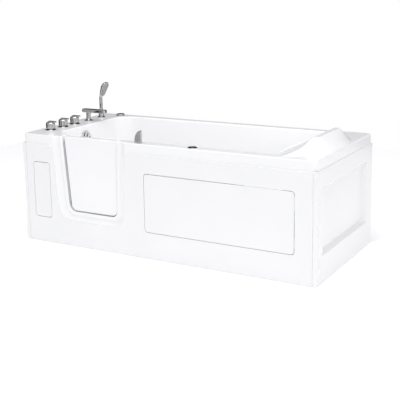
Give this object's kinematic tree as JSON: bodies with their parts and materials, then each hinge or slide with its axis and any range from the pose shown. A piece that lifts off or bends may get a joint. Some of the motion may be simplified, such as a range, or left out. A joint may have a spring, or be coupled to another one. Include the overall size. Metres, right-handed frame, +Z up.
{
  "type": "walk-in bathtub",
  "caption": "Walk-in bathtub with a hinged side door, deck taps, hand shower, raised headrest, removable apron panels and an air massage set.",
  "frame": {"origin": "centre of the footprint on the floor", "axes": "+X along the tub from the tap end to the head end, +Y from the door side to the wall side, +Z up"},
  "size_m": [1.7, 0.765, 0.8034],
  "materials": {
    "acrylic": "gloss",
    "apron": "gloss",
    "trim": "satin",
    "board": "matt",
    "frame_steel": "satin",
    "zinc_steel": "satin",
    "hinge_steel": "satin",
    "foot_rubber": "matt",
    "seal_rubber": "matt",
    "black_plastic": "matt",
    "chrome": "polished",
    "spray_face": "matt",
    "brass": "satin",
    "pvc": "matt"
  },
  "bodies": {
    "tub": {"tub_shell": "acrylic", "front_skirt": "apron", "right_skirt": "apron", "left_skirt": "apron", "corner_post_left": "trim", "corner_post_right": "trim", "base_board": "board", "frame_rail_front": "frame_steel", "frame_rail_rear": "frame_steel", "frame_cross_members": "frame_steel", "frame_posts": "frame_steel", "foot_studs": "zinc_steel", "foot_nuts": "zinc_steel", "foot_pads": "foot_rubber", "panel_catches": "black_plastic", "hinge_leaf_fixed": "hinge_steel", "hinge_pin": "zinc_steel", "latch_housing": "black_plastic", "valve_blocks": "brass", "tap_flanges": "chrome", "deck_nuts": "zinc_steel", "spout": "chrome", "handset_holder": "chrome", "mixer_pipes": "brass", "inlet_tails": "brass", "overflow_cover": "chrome", "overflow_pipe": "pvc", "waste_flange": "chrome", "waste_body": "pvc", "waste_outlet": "pvc", "drain_knob_base": "chrome", "air_button_bezel": "chrome", "air_button_body": "black_plastic", "blower": "black_plastic", "blower_bracket": "frame_steel", "air_pipe": "pvc", "air_channels": "pvc", "air_nozzles": "chrome"},
    "door": {"door_outer_panel": "acrylic", "door_inner_panel": "acrylic", "door_seal": "seal_rubber", "hinge_leaf_door": "hinge_steel", "door_keeper": "zinc_steel"},
    "latch_knob": {"latch_handle": "chrome", "latch_spindle": "zinc_steel"},
    "bolt": {"latch_bolt": "zinc_steel"},
    "hot_tap": {"tap_handle_hot": "chrome"},
    "cold_tap": {"tap_handle_cold": "chrome"},
    "diverter_tap": {"tap_handle_diverter": "chrome"},
    "hand_shower": {"handset": "chrome", "handset_face": "spray_face"},
    "plug": {"waste_plug": "chrome"},
    "drain_control": {"drain_knob": "chrome"},
    "air_button": {"air_button_cap": "chrome"},
    "left_panel": {"access_panel_left": "apron"},
    "right_panel": {"access_panel_right": "apron"}
  },
  "joints": [
    {"name": "door_swing", "type": "hinge", "parent": "tub", "child": "door", "pos_m": [-0.55847, -0.3585, 0.24], "axis": [0.0841, 0, -0.9965], "range_deg": [0, 100]},
    {"name": "latch_turn", "type": "hinge", "parent": "tub", "child": "latch_knob", "pos_m": [-0.115, -0.3545, 0.595], "axis": [0, 0, 1], "range_deg": [0, 90]},
    {"name": "latch_bolt_slide", "type": "slide", "parent": "tub", "child": "bolt", "axis": [-1, 0, 0], "range_m": [0, 0.0151]},
    {"name": "tap_hot_turn", "type": "hinge", "parent": "tub", "child": "hot_tap", "pos_m": [-0.77, -0.2395, 0.6], "axis": [0, 0, 1], "range_deg": [0, 90]},
    {"name": "tap_cold_turn", "type": "hinge", "parent": "tub", "child": "cold_tap", "pos_m": [-0.77, -0.1305, 0.6], "axis": [0, 0, 1], "range_deg": [0, 90]},
    {"name": "tap_diverter_turn", "type": "hinge", "parent": "tub", "child": "diverter_tap", "pos_m": [-0.77, -0.0265, 0.6], "axis": [0, 0, 1], "range_deg": [-60, 60]},
    {"name": "handset_lift", "type": "slide", "parent": "tub", "child": "hand_shower", "axis": [0, 0, 1], "range_m": [0, 0.1]},
    {"name": "drain_knob_turn", "type": "hinge", "parent": "tub", "child": "drain_control", "pos_m": [-0.704, 0.3345, 0.593], "axis": [0, 0, -1], "range_deg": [0, 90]},
    {"name": "plug_lift", "type": "slide", "parent": "tub", "child": "plug", "axis": [0, 0, 1], "range_m": [0, 0.0121]},
    {"name": "air_button_press", "type": "slide", "parent": "tub", "child": "air_button", "axis": [0, 0, -1], "range_m": [0, 0.004], "stiffness_N_per_m": 600, "springref_m": -0.002},
    {"name": "access_panel_left_pull", "type": "slide", "parent": "tub", "child": "left_panel", "axis": [0, -1, 0], "range_m": [0, 0.06]},
    {"name": "access_panel_right_pull", "type": "slide", "parent": "tub", "child": "right_panel", "axis": [0, -1, 0], "range_m": [0, 0.06]}
  ],
  "couplings": [
    {"joint": "latch_bolt_slide", "follows": "latch_turn", "m_per_rad": 0.0095493},
    {"joint": "plug_lift", "follows": "drain_knob_turn", "m_per_rad": 0.0076394}
  ]
}
